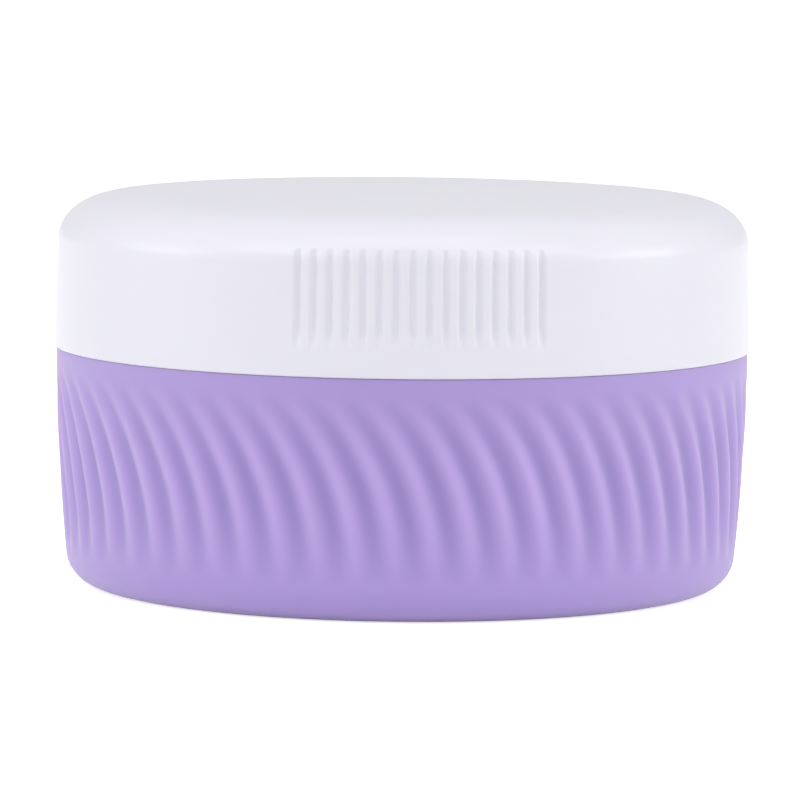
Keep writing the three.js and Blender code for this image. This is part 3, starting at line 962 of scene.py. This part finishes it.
def add_world():
    """Even white surroundings: a plain fill for the jar, and white where they show."""
    fill = 0.53
    world = bpy.data.worlds.new("studio")
    world.use_nodes = True
    tree = world.node_tree
    tree.nodes.clear()
    strength = add_node(
        tree,
        "ShaderNodeMapRange",
        {"Value": background_rays(tree), "To Min": fill, "To Max": 1.0},
    )
    light = add_node(
        tree, "ShaderNodeBackground", {"Color": (1, 1, 1, 1), "Strength": strength.outputs["Result"]}
    )
    add_node(tree, "ShaderNodeOutputWorld", {"Surface": light.outputs["Background"]})
    bpy.context.scene.world = world


def add_softbox(name, place, size, power):
    """A soft rectangular lamp that faces the middle of the jar."""
    lamp = bpy.data.lights.new(name, "AREA")
    lamp.shape = "RECTANGLE"
    lamp.size, lamp.size_y = size
    lamp.energy = power
    box = bpy.data.objects.new(name, lamp)
    aim = (CAD_BOX[0] + CAD_BOX[1]) / 2
    box.location = place
    box.rotation_euler = (aim - Vector(place)).to_track_quat("-Z", "Y").to_euler()
    bpy.context.scene.collection.objects.link(box)


def add_lamps():
    """Two softboxes up in front, two low ones at the sides and one overhead."""
    front, side, top = (0.3, 0.25), (0.3, 0.2), (0.4, 0.4)
    add_softbox("softbox_left", (-0.33, -0.33, 0.39), front, power=0.66)
    add_softbox("softbox_right", (0.33, -0.33, 0.39), front, power=0.52)
    add_softbox("side_box_left", (-0.58, -0.05, 0.16), side, power=0.62)
    add_softbox("side_box_right", (0.58, -0.05, 0.16), side, power=0.76)
    add_softbox("softbox_top", (0, -0.21, 0.58), top, power=0.7)


def add_camera():
    """The camera where the photograph was taken from: low, far off and a little tilted."""
    distance = 550 * MM
    elevation = math.radians(5.7)
    tilt = math.radians(0.58)
    aim = Vector((-0.14 * MM, 0, 15.9 * MM))
    focal_pixels, frame_pixels = 6320, 800
    data = bpy.data.cameras.new("portrait")
    data.sensor_width = 36
    data.lens = focal_pixels / frame_pixels * data.sensor_width
    camera = bpy.data.objects.new("portrait", data)
    back = Vector((0, -math.cos(elevation), math.sin(elevation)))
    facing = (-back).to_track_quat("-Z", "Y").to_matrix().to_4x4()
    place = Matrix.Translation(aim + back * distance)
    camera.matrix_world = place @ facing @ Matrix.Rotation(tilt, 4, "Z")
    bpy.context.scene.collection.objects.link(camera)
    bpy.context.scene.camera = camera


# Operators and panel


class JAR_OT_cup(bpy.types.Operator):
    """Build the wavy silicone cup"""

    bl_idname = "jar.cup"
    bl_label = "Silicone cup"

    def execute(self, context):
        mesh = cup_mesh(Fit(context.scene))
        material = lilac_silicone(context.scene.jar_colours)
        add_piece(mesh, material, "jar", "silicone_cup")
        return {"FINISHED"}


class JAR_OT_collar(bpy.types.Operator):
    """Build the threaded neck collar"""

    bl_idname = "jar.collar"
    bl_label = "Neck collar"

    def execute(self, context):
        mesh = collar_mesh(Fit(context.scene))
        material = natural_polypropylene(context.scene.jar_colours)
        add_piece(mesh, material, "jar", "thread_collar")
        return {"FINISHED"}


class JAR_OT_seal(bpy.types.Operator):
    """Build the sealing ring"""

    bl_idname = "jar.seal"
    bl_label = "Sealing ring"

    def execute(self, context):
        mesh = seal_mesh(Fit(context.scene))
        material = clear_silicone(context.scene.jar_colours)
        add_piece(mesh, material, "seal", "seal_gasket")
        return {"FINISHED"}


class JAR_OT_inner_cap(bpy.types.Operator):
    """Build the threaded inner cap"""

    bl_idname = "jar.inner_cap"
    bl_label = "Inner cap"

    def execute(self, context):
        mesh = liner_mesh(Fit(context.scene))
        material = natural_polypropylene(context.scene.jar_colours)
        add_piece(mesh, material, "lid", "lid_inner_cap")
        return {"FINISHED"}


class JAR_OT_shell(bpy.types.Operator):
    """Build the lid's white shell"""

    bl_idname = "jar.shell"
    bl_label = "Lid shell"

    def execute(self, context):
        mesh = shell_mesh(Fit(context.scene))
        material = white_polypropylene(context.scene.jar_colours)
        add_piece(mesh, material, "lid", "lid_shell")
        return {"FINISHED"}


class JAR_OT_stage(bpy.types.Operator):
    """Set the floor, the backdrop, the surroundings, the lamps and the camera"""

    bl_idname = "jar.stage"
    bl_label = "Stage"

    def execute(self, context):
        context.scene.view_settings.view_transform = "Standard"
        add_floor(context.scene.jar_colours)
        add_backdrop(context.scene.jar_colours)
        add_world()
        add_lamps()
        add_camera()
        return {"FINISHED"}


class JAR_PT_panel(bpy.types.Panel):
    """Builds the travel jar piece by piece"""

    bl_idname = "JAR_PT_panel"
    bl_label = "Travel jar"
    bl_space_type = "VIEW_3D"
    bl_region_type = "UI"
    bl_category = "Travel jar"

    def draw(self, context):
        for group_name in GROUPS:
            group = getattr(context.scene, group_name)
            box = self.layout.box()
            for name in group.__annotations__:
                box.prop(group, name)
        for operator in OPERATORS:
            self.layout.operator(operator.bl_idname)


OPERATORS = (JAR_OT_cup, JAR_OT_collar, JAR_OT_seal, JAR_OT_inner_cap, JAR_OT_shell, JAR_OT_stage)
CLASSES = (CupSizes, NeckSizes, LidSizes, JarColours, *OPERATORS, JAR_PT_panel)
GROUPS = {"jar_cup": CupSizes, "jar_neck": NeckSizes, "jar_lid": LidSizes, "jar_colours": JarColours}


def register():
    """Adds the sizes, the operators and the panel to Blender."""
    for item in CLASSES:
        bpy.utils.register_class(item)
    for name, group in GROUPS.items():
        setattr(bpy.types.Scene, name, bpy.props.PointerProperty(type=group))


def unregister():
    """Takes the sizes, the operators and the panel out of Blender."""
    for name in GROUPS:
        delattr(bpy.types.Scene, name)
    for item in reversed(CLASSES):
        bpy.utils.unregister_class(item)


def main():
    """Builds the whole jar on its stage."""
    register()
    bpy.ops.jar.cup()
    bpy.ops.jar.collar()
    bpy.ops.jar.seal()
    bpy.ops.jar.inner_cap()
    bpy.ops.jar.shell()
    bpy.ops.jar.stage()
    boxes = {"cad": CAD_BOX, "visual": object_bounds()}
    {name: [list(corner) for corner in box] for name, box in boxes.items()}


if __name__ == "__main__":
    main()
